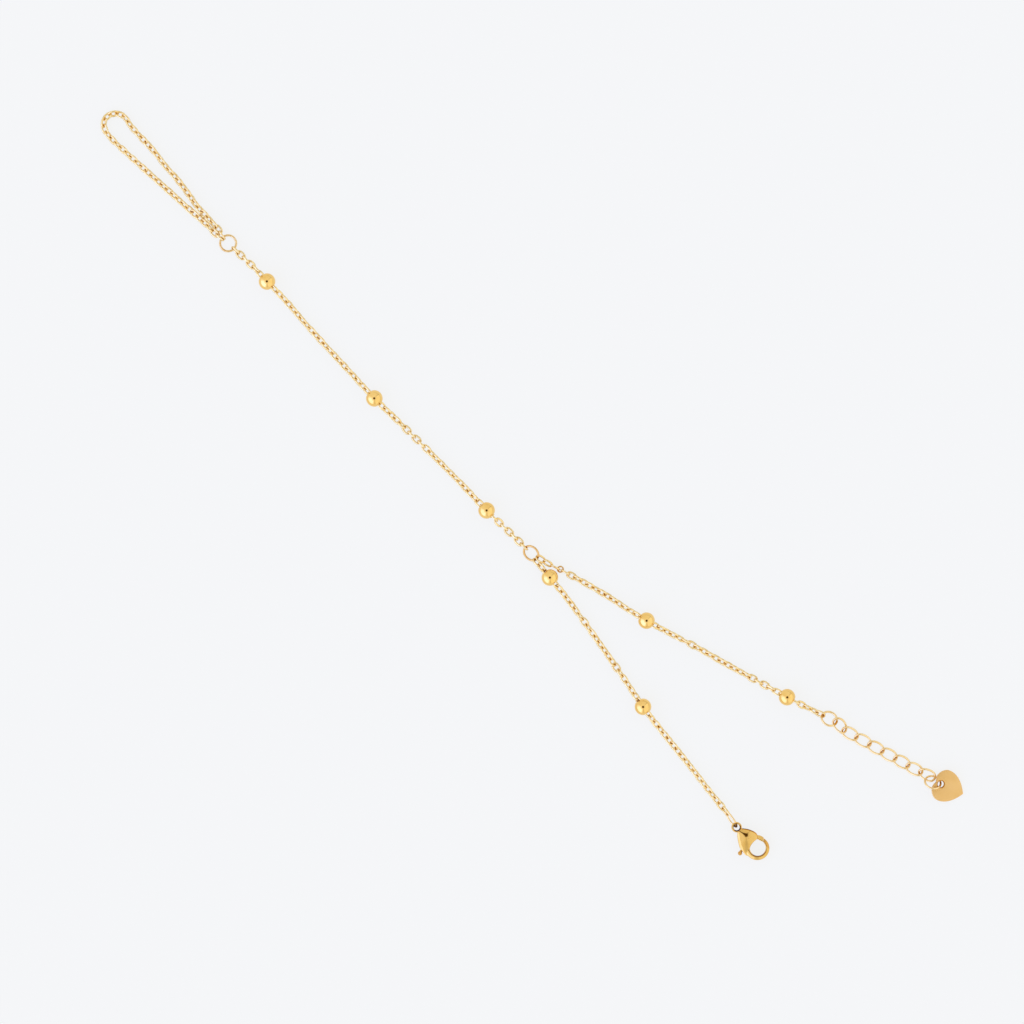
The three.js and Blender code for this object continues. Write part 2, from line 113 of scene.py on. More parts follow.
def goldMaterial(name, finish):
    # Colour drifts between two golds in soft clouds and darkens by a value stored on the mesh, mostly
    # painted shade, roughness follows a noise four times finer, and a fine grain is the bump.
    material = bpy.data.materials.new(name)
    material.use_nodes = True
    nodes = material.node_tree.nodes
    place = nodes.new("ShaderNodeTexCoord").outputs["Object"]

    def noise(size, detail):
        node = nodes.new("ShaderNodeTexNoise")
        feed(node, {"Vector": place, "Scale": 1.0 / (size * millimetre), "Detail": detail})
        return node.outputs["Fac"]

    ramp = nodes.new("ShaderNodeValToRGB")
    for element, position, gold in zip(ramp.color_ramp.elements, noiseSpan, ("deep", "light")):
        element.position, element.color = position, (*finish[gold], 1.0)
    feed(ramp, {"Fac": noise(finish["cloudSize"], 2.0)})
    # The stored value is mostly painted shade; on some whole rings and on the lever's tab it is only a
    # darker tone.
    darkening = nodes.new("ShaderNodeAttribute")
    darkening.attribute_name = "darkening"
    tint = nodes.new("ShaderNodeValToRGB")
    tint.color_ramp.elements.new(0.5)
    for element, (position, colour) in zip(tint.color_ramp.elements, darkeningTints):
        element.position, element.color = position, (*colour, 1.0)
    feed(tint, {"Fac": darkening.outputs["Fac"]})
    darken = nodes.new("ShaderNodeMix")
    darken.data_type, darken.blend_type = "RGBA", "MULTIPLY"
    feed(darken, {"Factor": 1.0, "A": ramp.outputs["Color"], "B": tint.outputs["Color"]})

    dullness = nodes.new("ShaderNodeMapRange")
    span = (*noiseSpan, *finish["roughness"])
    feed(dullness, dict(zip(("From Min", "From Max", "To Min", "To Max"), span)))
    feed(dullness, {"Value": noise(finish["cloudSize"] / 4.0, 3.0)})

    bump = nodes.new("ShaderNodeBump")
    depth, grain = finish["grainDepth"] * millimetre, noise(finish["grainSize"], 2.0)
    feed(bump, {"Strength": 1.0, "Distance": depth, "Height": grain})
    feed(nodes["Principled BSDF"], {
        "Base Color": darken.outputs["Result"],
        "Metallic": 1.0,
        "Roughness": dullness.outputs["Result"],
        "Normal": bump.outputs["Normal"],
    })
    return material


golds = {name: goldMaterial(name, finish) for name, finish in goldFinishes.items()}
print("finishes made:", ", ".join(golds))


# Helpers for surfaces.

def gridFaces(rows, columns, closedRows=True):
    # Quads between neighbouring points of a rows x columns grid that joins round, lengthwise only if closed.
    a, b = np.arange(rows if closedRows else rows - 1)[:, None], np.arange(columns)[None, :]
    nextA, nextB = (a + 1) % rows, (b + 1) % columns
    corners = (a * columns + b, nextA * columns + b, nextA * columns + nextB, a * columns + nextB)
    return np.stack([corner + 0 * a + 0 * b for corner in corners], -1).reshape(-1, 4).tolist()


def turned(turn=0.0, pitch=0.0, roll=0.0):
    # Rotation matrix: roll about X, then pitch about Y, then turn about Z, in degrees.
    z, y, x = np.radians([turn, pitch, roll])
    aboutZ = np.array([[np.cos(z), -np.sin(z), 0], [np.sin(z), np.cos(z), 0], [0, 0, 1]])
    aboutY = np.array([[np.cos(y), 0, np.sin(y)], [0, 1, 0], [-np.sin(y), 0, np.cos(y)]])
    aboutX = np.array([[1, 0, 0], [0, np.cos(x), -np.sin(x)], [0, np.sin(x), np.cos(x)]])
    return aboutZ @ aboutY @ aboutX


def fullTurn(steps):
    return np.linspace(0, 2 * np.pi, steps, endpoint=False)


def superPower(value, power):
    return np.sign(value) * abs(value) ** power


def unit(vectors):
    return vectors / np.linalg.norm(vectors, axis=1, keepdims=True)


def tubeRound(centreline, wire, sides, closed=True):
    # A round wire of the given diameter along a centreline that lies roughly level:
    # each section is a circle in the plane across the line's own direction.
    if closed:
        along = np.roll(centreline, -1, 0) - np.roll(centreline, 1, 0)
    else:
        along = np.gradient(centreline, axis=0)
    along = unit(along)
    outward = unit(np.cross(along, (0.0, 0.0, 1.0)))
    upward = np.cross(outward, along)
    angle = fullTurn(sides)[None, :, None]
    ring = outward[:, None] * np.cos(angle) + upward[:, None] * np.sin(angle)
    return (centreline[:, None] + ring * wire / 2).reshape(-1, 3)


def cappedFaces(rows, columns):
    # The faces of a tube that is open lengthwise, with one face to close each end.
    caps = [list(range(columns))[::-1], list(range((rows - 1) * columns, rows * columns))]
    return gridFaces(rows, columns, closedRows=False) + caps


def fade(value, end, width):
    # 1 where the value is well below the end, falling to 0 over the width before it.
    return np.clip((end - value) / width, 0, 1)


def shadeSmooth(mesh, sharpAbove):
    # Smooth, with sharp edges where faces meet at more than the given degrees, if any are given.
    mesh.polygons.foreach_set("use_smooth", np.ones(len(mesh.polygons), bool))
    if sharpAbove:
        mesh.set_sharp_from_angle(angle=math.radians(sharpAbove))


def makeMesh(name, points, faces, sharpAbove=None):
    mesh = bpy.data.meshes.new(name)
    mesh.from_pydata((np.asarray(points) * millimetre).tolist(), [], faces)
    shadeSmooth(mesh, sharpAbove)
    mesh.update()
    return mesh


def setDarkening(mesh, values):
    darkening = mesh.attributes.new("darkening", "FLOAT", "POINT")
    darkening.data.foreach_set("value", np.asarray(values, np.float32))


def faceOutwards(mesh):
    work = bmesh.new()
    work.from_mesh(mesh)
    bmesh.ops.recalc_face_normals(work, faces=work.faces)
    work.to_mesh(mesh)
    work.free()


def addPiece(name, mesh, finish, replaced, body="chain"):
    faceOutwards(mesh)
    piece = bpy.data.objects.new(name, mesh)
    bpy.context.scene.collection.objects.link(piece)
    mesh.materials.append(golds[finish])
    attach(piece, body)
    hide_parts(*replaced)


# Ball beads, drilled right through.

ballBeads = {
    "radius": 1.58,
    "bore": 0.65,
    "lipRadius": 0.09,  # rounding where the ball meets its bore
    "sides": 48,
    "arcSteps": 30,
    "lipSteps": 6,
    "places": {
        "bead_1": (-58.48, -6.15), "bead_2": (-28.57, -7.42), "bead_3": (1.35, -7.39),
        "bead_4": (18.74, -7.9), "bead_5": (48.41, -12.72),
        "bead_6": (37.38, -0.76), "bead_7": (66.35, 7.78),
    },
}


# Fine cable chain: oval links along each strand's route.

fineLink = {
    "halfLength": 0.878,  # to the middle of the wire
    "halfWidth": 0.56,
    "wire": 0.42,
    "squareness": 2.5,  # 2 is an ellipse, more is straighter along the sides
    "darkening": 0.68,  # how dark the painted shade is on the inside of the ends
    "shadeFrom": 0.5,  # share of the half length where the painted shade starts
    "shadeSpread": (0.75, 1.1),  # some links get more painted shade than others
    "shadeAtEnds": 1.6,  # a strand's first and last links get the most painted shade
    "pitch": 1.3043,
    "steps": 12,
    "sides": 6,
    "looseTurn": 9.0,  # degrees that a link may lie out of true
    "looseYaw": 2.5,
}

chainRise = {"levelHalf": 1.7, "ramp": 3.2}  # how the chain comes up into a bead or a ring

# Each route is in plan. Twist gives, at distances along it, the roll of every second link in degrees:
# 45 lays both kinds of link half over, 0 or 90 lays one kind flat and stands the other up.
strands = {
    "finger_loop": {
        "heights": (0.55, 0.55),
        "beads": (),
        "twist": [
            (0, 90), (4, 50), (12, 38), (22, 52), (31, 56), (40, 38), (50, 50), (60, 40), (64.5, 90),
        ],
        "route": [
            (-70.75, -6.55), (-72.8, -6.68), (-75.2, -6.68), (-78.4, -6.9), (-82.7, -7.12),
            (-86.9, -7.36), (-91.2, -7.6), (-94.8, -7.76), (-97.6, -7.86), (-99.7, -7.72),
            (-101.2, -7.1), (-101.86, -6.0), (-101.72, -4.72), (-100.85, -3.68),
            (-99.4, -3.24), (-97.5, -3.58), (-94.9, -3.73),
            (-91.2, -3.86), (-87.6, -4.3), (-84.1, -4.52), (-80.9, -4.95), (-77.8, -5.46),
            (-75.2, -5.55), (-72.8, -5.68), (-70.75, -5.95),
        ],
    },
    "hand": {
        "heights": (0.55, 1.14),
        "beads": ("bead_1", "bead_2", "bead_3"),
        "twist": [
            (0, 78), (4, 80), (6.5, 50), (8, 46), (14, 52), (20, 40), (30, 48), (44, 45),
            (47, -2), (51.5, 2), (54, 45), (65, 50), (69, 90), (78.3, 90),
        ],
        "route": [
            (-66.86, -6.2), (-62.8, -6.05), (-58.48, -6.15), (-53.76, -6.22), (-47.98, -6.64),
            (-42.19, -6.93), (-36.39, -7.14), (-28.57, -7.42), (-21.04, -7.3), (-12.31, -7.22),
            (-6.49, -7.22), (1.35, -7.39), (6.5, -7.28), (11.1, -7.2),
        ],
    },
    "clasp_arm": {
        "heights": (1.0, 1.15),
        "beads": ("bead_4", "bead_5"),
        "twist": [
            (0, -51), (6, -45), (12, -50), (13.7, -85), (15.4, -50), (23.5, -45), (25.2, -90),
            (27, -50), (40, -45), (56, -45), (59, -25),
        ],
        "route": [
            (14.98, -7.6), (18.74, -7.9), (23.4, -8.36), (29.3, -9.26), (35.1, -10.24), (41.0, -11.3),
            (48.41, -12.72), (52.6, -13.3), (57.9, -13.87), (63.2, -14.46), (68.6, -15.14), (73.36, -15.64),
        ],
    },
    "extender_lead": {
        "heights": (1.3, 0.55),
        "beads": (),
        "halfLength": 0.9,
        "twist": [(0, 150), (1.2, 140), (2.4, 110), (3.3, 92)],
        "route": [(15.02, -6.66), (16.6, -6.26), (18.07, -5.81)],
    },
    "extender_arm": {
        "heights": (0.55, 1.02),
        "beads": ("bead_6", "bead_7"),
        "twist": [
            (0, 90), (4, 47), (15, 43), (25, 46), (26.8, 85), (28.6, 46), (39, 48), (41, 88), (44, 90),
            (46.5, 50), (50, 88), (52, 60), (55.3, 29),
        ],
        "route": [
            (20.14, -5.12), (23.7, -4.1), (28.9, -2.72), (33.3, -1.78), (37.38, -0.76), (41.9, 0.56),
            (47.6, 2.34), (53.3, 3.92), (59.1, 5.63), (66.35, 7.78), (70.0, 8.93), (73.03, 9.98),
        ],
    },
}


def planCurve(route, samples=40):
    # Smooth curve through the route's points: each stretch is a cubic whose end slopes
    # come from the neighbouring points, weighted by the square root of their distance.
    points = np.array(route, float)
    ends = np.vstack([2 * points[0] - points[1], points, 2 * points[-1] - points[-2]])
    gap = np.sqrt(np.linalg.norm(np.diff(ends, axis=0), axis=1))
    before, here, after = gap[:-2, None], gap[1:-1, None], gap[2:, None]
    p0, p1, p2, p3 = ends[:-3], ends[1:-2], ends[2:-1], ends[3:]
    slope1 = ((p1 - p0) / before - (p2 - p0) / (before + here) + (p2 - p1) / here) * here
    slope2 = ((p2 - p1) / here - (p3 - p1) / (here + after) + (p3 - p2) / after) * here
    t = np.linspace(0, 1, samples, endpoint=False)[None, :, None]
    p1, p2, slope1, slope2 = (a[:, None] for a in (p1, p2, slope1, slope2))
    curve = (
        (2 * t**3 - 3 * t**2 + 1) * p1 + (t**3 - 2 * t**2 + t) * slope1
        + (3 * t**2 - 2 * t**3) * p2 + (t**3 - t**2) * slope2
    )
    return np.vstack([curve.reshape(-1, 2), points[-1]])


def nearestPoint(curve, bead):
    return np.argmin(np.linalg.norm(curve - ballBeads["places"][bead], axis=1))


def linkPlaces(strand):
    # Centres, directions and rolls of a strand's links, spaced evenly along its route.
    curve = planCurve(strand["route"])
    along = np.concatenate([[0], np.cumsum(np.linalg.norm(np.diff(curve, axis=0), axis=1))])
    halfLength = strand.get("halfLength", fineLink["halfLength"])
    pitch = fineLink["pitch"] + 2 * (halfLength - fineLink["halfLength"])
    count = int(round(along[-1] / pitch)) + 1
    place = np.linspace(0, along[-1], count)
    plan = np.stack([np.interp(place, along, curve[:, k]) for k in (0, 1)], 1)
    twistAt, twistRoll = np.array(strand["twist"], float).T
    roll = np.interp(place, twistAt * along[-1] / twistAt[-1], twistRoll) + 90.0 * (np.arange(count) % 2)
    roll += randomTurns.uniform(-1, 1, count) * fineLink["looseTurn"]
    # A link rests on the wire that hangs lowest; both kinds of link share one height.
    lean = np.radians(roll)
    rest = fineLink["wire"] / 2 + fineLink["halfWidth"] * np.maximum(abs(np.sin(lean)), abs(np.cos(lean)))
    height = rest
    raised = list(zip(strand["heights"], (place, along[-1] - place)))
    for bead in strand["beads"]:
        fromBead = abs(place - along[nearestPoint(curve, bead)])
        raised.append((ballBeads["radius"], np.maximum(fromBead - chainRise["levelHalf"], 0)))
    # Towards each raised place the chain climbs half by a straight slope and half by a smooth step.
    for target, distance in raised:
        share = fade(distance, chainRise["ramp"], chainRise["ramp"])
        share = (share * share * (3 - 2 * share) + share) / 2
        height = np.maximum(height, rest + (target - rest) * share)
    centres = np.column_stack([plan, height])
    return centres, unit(np.gradient(centres, axis=0)), roll, halfLength


def linkCentreline(halfLength, halfWidth, squareness, steps, lift=0.0):
    # A rounded oval: cosine and sine raised to the power 2 / squareness, with the wire
    # rising and dipping twice round it where the link is twisted.
    angle, power = fullTurn(steps), 2.0 / squareness
    x, y = halfLength * superPower(np.cos(angle), power), halfWidth * superPower(np.sin(angle), power)
    return np.column_stack([x, y, -lift * np.sin(2 * angle)])


def endShade(line, link, shape):
    # Painted shade on the inner side of the wire at both ends of a link, where its neighbours lie against
    # it.
    sides = shape["sides"]
    reach = abs(line[:, 0]) / abs(line[:, 0]).max()
    nearEnd = np.clip((reach - shape["shadeFrom"]) / (1 - shape["shadeFrom"]), 0, 1)
    inward = np.repeat(abs(line[:, 0]), sides) - abs(link[:, 0])
    inner = np.clip(0.5 + inward / shape["wire"], 0, 1)
    return shape["darkening"] * np.repeat(nearEnd, sides) * inner


def strandMesh(name, strand):
    # One oval link repeated: each copy is turned so that its length follows the route,
    # its width leans by the link's roll, and all copies are moved at once.
    centres, direction, roll, halfLength = linkPlaces(strand)
    count = len(centres)
    yaw = np.radians(randomTurns.uniform(-1, 1, count) * fineLink["looseYaw"])
    x, y, z = direction.T
    direction = np.column_stack([x * np.cos(yaw) - y * np.sin(yaw), x * np.sin(yaw) + y * np.cos(yaw), z])
    side = unit(np.cross((0.0, 0.0, 1.0), direction))
    upward = np.cross(direction, side)
    lean = np.radians(roll)[:, None]
    width = side * np.cos(lean) + upward * np.sin(lean)
    normal = np.cross(direction, width)
    line = linkCentreline(halfLength, fineLink["halfWidth"], fineLink["squareness"], fineLink["steps"])
    link = tubeRound(line, fineLink["wire"], fineLink["sides"])
    axes = np.stack([direction, width, normal], 1)
    points = centres[:, None] + np.einsum("pk,nkc->npc", link, axes)
    one = np.array(gridFaces(fineLink["steps"], fineLink["sides"]))
    faces = (one[None] + len(link) * np.arange(count)[:, None, None]).reshape(-1, 4)
    mesh = makeMesh(name, points.reshape(-1, 3), faces.tolist())
    # Painted shade at the ends of each link, more on some links and most on a strand's first and last.
    dark = randomTurns.uniform(*fineLink["shadeSpread"], count)
    dark[[0, -1]] = fineLink["shadeAtEnds"]
    setDarkening(mesh, np.clip(np.outer(dark, endShade(line, link, fineLink)), 0, 1).ravel())
    print(name, "has", count, "links")
    return mesh


for name, strand in strands.items():
    addPiece(name + "_links", strandMesh(name, strand), "chainGold", [name + "_chain"])


def beadMesh(name, centre, bearing):
    # A ball's arc, a small rounding and the straight bore, turned round the chain's direction.
    radius, bore, lip = ballBeads["radius"], ballBeads["bore"], ballBeads["lipRadius"]
    # The rounding touches the ball from inside and the bore's wall from outside.
    lipAcross = bore + lip
    lipAlong = math.sqrt((radius - lip) ** 2 - lipAcross**2)
    meet = math.atan2(lipAlong, lipAcross)
    arc = np.linspace(-meet, meet, ballBeads["arcSteps"])
    profile = [(radius * math.sin(a), radius * math.cos(a)) for a in arc]
    turnIn = np.linspace(meet, math.pi, ballBeads["lipSteps"])[1:]
    profile += [(lipAlong + lip * math.sin(a), lipAcross + lip * math.cos(a)) for a in turnIn]
    turnOut = np.linspace(-math.pi, -meet, ballBeads["lipSteps"])[:-1]
    profile += [(-lipAlong + lip * math.sin(a), lipAcross + lip * math.cos(a)) for a in turnOut]
    profile = np.array(profile)
    angle = fullTurn(ballBeads["sides"])
    along = np.broadcast_to(profile[None, :, 0], (len(angle), len(profile)))
    across = profile[None, :, 1] * np.cos(angle)[:, None]
    up = profile[None, :, 1] * np.sin(angle)[:, None]
    points = np.stack([along, across, up], -1).reshape(-1, 3) @ turned(bearing).T
    points += (*centre, radius)
    return makeMesh(name, points, gridFaces(len(angle), len(profile)))


def chainBearing(bead):
    # The direction in which the chain runs through a bead.
    curve = next(planCurve(s["route"]) for s in strands.values() if bead in s["beads"])
    i = nearestPoint(curve, bead)
    step = curve[i + 1] - curve[i - 1]
    return math.degrees(math.atan2(step[1], step[0]))


for bead, place in ballBeads["places"].items():
    addPiece("ball_" + bead, beadMesh(bead, place, chainBearing(bead)), "beadGold", [bead])
print("beads made:", len(ballBeads["places"]))


# Jump rings.

# What every ring has unless its own entry says otherwise.
ringWire = {
    "radius": 1.51,
    "wire": 0.42,
    "turn": 0,  # direction of the axis that it leans on
    "lean": 0,
    "lift": 0,
    "steps": 60,
    "sides": 12,
    "seamGap": 0.05,
    "paintedShadeReach": (26.0, 12.0),  # degrees to each side of a place of painted shade, and over how many of them it fades
}
# Centre in plan, bearing of the seam, how much darker the whole ring is, and the bearings of painted shade
# where its neighbours lie against it, each with its darkness.
jumpRings = {
    "finger_ring": {
        "at": (-68.85, -6.24), "lift": 0.36, "seam": 75, "wholeDarkening": 0.1,
        "paintedShade": ((180, 0.55), (-125, 0.28), (-80, 0.28)),
    },
    "centre_ring": {
        "at": (13.0, -7.16), "lean": 39, "seam": 110, "wholeDarkening": 0.32, "paintedShade": ((0, 0.85), (180, 0.5)),
    },
    "extender_ring": {
        "at": (74.9, 10.55), "turn": 19.8, "lean": -34.9, "seam": 250, "wholeDarkening": 0.05,
        "paintedShade": ((12, 0.6), (198, 0.4)),
    },
    "heart_ring": {
        "at": (97.182, 15.879), "turn": 32.5, "lean": -42.3, "seam": 150, "wholeDarkening": 0.05,
        "paintedShade": ((32, 0.65), (100, 0.3)), "wire": 0.38,
    },
    "joining_ring": {
        "at": (19.06, -5.39), "turn": 20, "lift": 0.37, "seam": 80, "wholeDarkening": 0.38,
        "paintedShade": ((20, 0.85), (200, 0.7)), "radius": 0.53, "wire": 0.3,
    },
}


def jumpRingMesh(name, ring):
    # A circle of round wire, cut once: the two flat ends stand a hair apart.
    radius, wire, sides = ring["radius"], ring["wire"], ring["sides"]
    half = ring["seamGap"] / 2 / radius
    angle = math.radians(ring["seam"]) + np.linspace(half, 2 * np.pi - half, ring["steps"])
    line = np.column_stack([radius * np.cos(angle), radius * np.sin(angle), 0 * angle])
    points = tubeRound(line, wire, sides, closed=False)
    height = radius * math.sin(math.radians(abs(ring["lean"]))) + wire / 2 + ring["lift"]
    points = points @ turned(ring["turn"], 0, ring["lean"]).T
    mesh = makeMesh(name, points + (*ring["at"], height), cappedFaces(len(line), sides), sharpAbove=50)
    # The whole ring is a little darker, with painted shade added where its neighbours lie against it.
    dark = np.full(len(points), ring["wholeDarkening"])
    for bearing, amount in ring["paintedShade"]:
        apart = abs((np.degrees(np.arctan2(points[:, 1], points[:, 0])) - bearing + 180) % 360 - 180)
        dark = np.maximum(dark, amount * fade(apart, *ring["paintedShadeReach"]))
    setDarkening(mesh, dark)
    return mesh


for name, ring in jumpRings.items():
    addPiece("wire_" + name, jumpRingMesh(name, {**ringWire, **ring}), "ringGold", [name])


# Extender links, each twisted a little as in a curb chain.

extenderLinks = {
    "halfLength": 1.618,
    "halfWidth": 1.015,
    "wire": 0.41,
    "twist": 0.28,  # how far the curb twist lifts and drops the wire
    "squareness": 2.12,
    "start": (76.955, 10.774),
    "pitch": 2.784,
    "bearings": (12, 16.4, 16.1, 16.4, 16.4, 15.7, 20.5),
    "steps": 56,
    "sides": 12,
    "darkening": 0.5,
    "shadeFrom": 0.62,
    # The first and the last two links are propped: shift in plan, height, turn, pitch and roll.
    "propped": {
        0: (0.262, 0.341, 0.915, -5, 16, -5.2), 6: (-0.044, -0.015, 0.485, 18.5, 0, 0),
        7: (-0.229, -0.081, 0.711, 18.5, 0.4, 17.3),
    },
}


def extenderLinkMeshes(links):
    bearings = np.array(links["bearings"], float)
    steps = links["pitch"] * np.column_stack([np.cos(np.radians(bearings)), np.sin(np.radians(bearings))])
    plan = links["start"] + np.vstack([[(0, 0)], np.cumsum(steps, axis=0)])
    turns = (np.concatenate([bearings[:1], bearings]) + np.concatenate([bearings, bearings[-1:]])) / 2
    sizes = ("halfLength", "halfWidth", "squareness", "steps", "twist")
    line = linkCentreline(*[links[size] for size in sizes])
    link = tubeRound(line, links["wire"], links["sides"])
    faces = gridFaces(links["steps"], links["sides"])
    # Painted shade on the inner side of the wire at both ends of every link.
    paintedShade = endShade(line, link, links)
    for i, (x, y) in enumerate(plan):
        flat = (0, 0, links["twist"] + links["wire"] / 2, turns[i], 0, 0)
        shiftX, shiftY, height, turn, pitch, roll = links["propped"].get(i, flat)
        points = link @ turned(turn, pitch, roll).T + (x + shiftX, y + shiftY, height)
        mesh = makeMesh("link", points, faces)
        setDarkening(mesh, paintedShade)
        yield "extender_link_" + str(i + 1), mesh


for name, mesh in extenderLinkMeshes(extenderLinks):
    addPiece("curb_" + name, mesh, "ringGold", [name])
print("rings and extender links made")


# Heart tag.

heartTag = {
    "hole": (98.456, 16.69),
    "holeHeight": 1.2062,
    "turn": 21.2,
    "slope": 11.84,
    "thickness": 0.45,
    "holeRadius": 0.63,
    "edgeRadius": 0.09,
    "edgeSteps": 5,
    "plateShade": 0.75,  # how dark the painted shade is round the hole and in the notch
    "holeShade": (0.1, 0.12),  # how far the painted shade reaches past the hole's rounded edge, and its fade
    "notchShade": (0.5, 0.3),  # the same from the notch
    "faceLoops": (0.16, 0.05),  # distances from that edge of the loops that hold the dark in
    "outline": [  # from the notch round one lobe to the tip: bezier stretches of four points each
        ((-1.0, 0.0), (-1.12, 0.3), (-1.3, 0.6), (-1.3, 1.05)),
        ((-1.3, 1.05), (-1.3, 1.75), (-0.5, 3.05), (0.65, 3.05)),
        ((0.65, 3.05), (1.9, 3.05), (3.4, 2.34), (4.78, 0.0)),
    ],
    "pointsPerStretch": 26,
}


def bezier(points, count):
    p = np.array(points, float)
    t = np.linspace(0, 1, count, endpoint=False)[:, None]
    return (1 - t) ** 3 * p[0] + 3 * t * (1 - t) ** 2 * p[1] + 3 * t**2 * (1 - t) * p[2] + t**3 * p[3]


def insetLoop(loop, amount):
    # Moves each point of a counter-clockwise loop inwards, across the line between its neighbours.
    along = unit(np.roll(loop, -1, 0) - np.roll(loop, 1, 0))
    return loop + amount * np.column_stack([-along[:, 1], along[:, 0]])


def heartMesh(tag):
    # A closed band of loops: up the rounded outer edge, over the face to the hole,
    # down the hole's rounded wall and back under to the outer edge.
    half = np.vstack([bezier(stretch, tag["pointsPerStretch"]) for stretch in tag["outline"]])
    mirror = half[1:][::-1] * (1, -1)
    outline = np.vstack([half, [tag["outline"][-1][-1]], mirror])[::-1]
    angle = np.arctan2(outline[:, 1], outline[:, 0])
    radial = np.column_stack([np.cos(angle), np.sin(angle)])
    edge, halfThick = tag["edgeRadius"], tag["thickness"] / 2
    quarter = np.linspace(0, np.pi / 2, tag["edgeSteps"])
    inward, rise = edge * (1 - np.cos(quarter)), halfThick - edge + edge * np.sin(quarter)
    loops = [insetLoop(outline, amount) for amount in inward]
    loops += [radial * (tag["holeRadius"] + edge + beyond) for beyond in tag["faceLoops"]]
    loops += [radial * (tag["holeRadius"] + amount) for amount in inward[::-1]]
    heights = [*rise, *[halfThick] * len(tag["faceLoops"]), *rise[::-1]]
    loops += loops[::-1]
    heights += [-h for h in heights[::-1]]
    levels = np.array(heights)[:, None, None] * np.ones((1, len(outline), 1))
    points = np.concatenate([np.array(loops), levels], 2).reshape(-1, 3)
    # Painted shade round the hole's rounded edge and on the walls of the notch between the lobes.
    fromHole, fromNotch = np.hypot(*points[:, :2].T), np.hypot(*(points[:, :2] - tag["outline"][0][0]).T)
    reach, width = tag["holeShade"]
    nearHole = fade(fromHole, tag["holeRadius"] + edge + reach, width)
    inNotch = fade(fromNotch, *tag["notchShade"]) * (abs(points[:, 2]) < halfThick - edge / 2)
    points = points @ turned(tag["turn"], tag["slope"], 0).T + (*tag["hole"], tag["holeHeight"])
    mesh = makeMesh("heart", points, gridFaces(len(loops), len(outline)), sharpAbove=35)
    setDarkening(mesh, tag["plateShade"] * np.maximum(nearHole, inNotch))
    return mesh


addPiece("heart_plate", heartMesh(heartTag), "heartGold", ["heart_tag"])
print("heart tag made")


# Lobster clasp: body, lever, rivet and the oval link in its eye.

# Its own frame has the middle of the eye as origin, +x along the clasp and +y towards the gate.
lobsterClasp = {
    "eye": (76.99, -16.3),
    "turn": 1.2,
    "height": 1.15,
    "halfThick": 1.15,
    "ridge": ((0.86, -0.15), (2.32, 0.17)),  # highest line of the drop's face
    "ridgeRounding": (0.03, 0.44),  # half width of the rounded top at the start and the end of the ridge
    "ridgeWidens": 2.5,  # more is later along the ridge
    "faceSlope": 0.2,  # how far the face falls for each millimetre away from the ridge
    "rimPower": 14.0,  # more is a tighter rim
    "draft": 0.95,  # size of the drop's underside
    "flank": (0.6, 0.25),  # width and slope of the flank along the lower edge
    "flankFades": ((-0.5, 0.7), (4.4, 0.8)),  # where it ends in y and in x, each with its fade
    "drop": [
        (0.72, -0.42), (1.02, -0.93), (1.84, -1.6), (2.64, -2.14), (3.26, -2.44), (4.2, -2.57), (4.95, -2.6),
        (5.3, -2.3), (5.2, -1.75), (4.72, -1.38), (4.36, -0.8), (4.22, -0.1), (4.22, 0.5), (4.28, 0.98),
        (4.08, 1.45), (3.7, 1.72), (3.2, 1.76), (2.4, 1.54), (1.75, 1.24), (1.15, 0.82), (0.72, 0.42),
    ],
    "dropSteps": (6, 30),  # from one point of the outline to the next, and from the ridge to the rim
    "hookCentre": (5.56, -0.05),
    "hookInner": 1.49,
    "hookBearings": (-124.0, 104.0),
    "hookWidth": (0.93, 0.64),
    "hookThick": (1.3, 1.6, 1.25),  # at the drop, a quarter of the way round, and at the tip
    "hookTaper": 0.16,  # how much thinner the hook's outer side is than its middle
    "hookPower": 0.5,  # less is a squarer section, 1 is an oval
    "hookSteps": (70, 28),
    "eyeHole": 0.57,
    "eyeOuter": 1.0,
    "eyeThick": 0.7,
    "eyeSteps": (48, 20),
    "smoothing": 6,
}
castSkin = {"voxel": 0.045, "softness": 0.5, "sharpAbove": 38}

# Painted shade on the body, each place with its reach and its fade.
claspShade = {
    "eye": (0.28, 0.12),
    "eyeFront": 0.25,  # it comes in over this length in front of the eye's middle
    "mouth": (0.2, 0.1),
    "mouthBearings": ((-100, -75, 0, 35), (0, 1, 0.85, 0)),  # bearings round the mouth, and how dark
    "edge": (0.26, 0.16),
    "edgeAlong": ((0.75, 0.95, 2.5, 4.0), (0, 1, 0.8, 0.3)),  # places along the upper edge, and how dark
    "edgeFrom": 0.3,  # the upper edge is the part of the drop's outline above this y
    "edgeTo": 4.1,
}

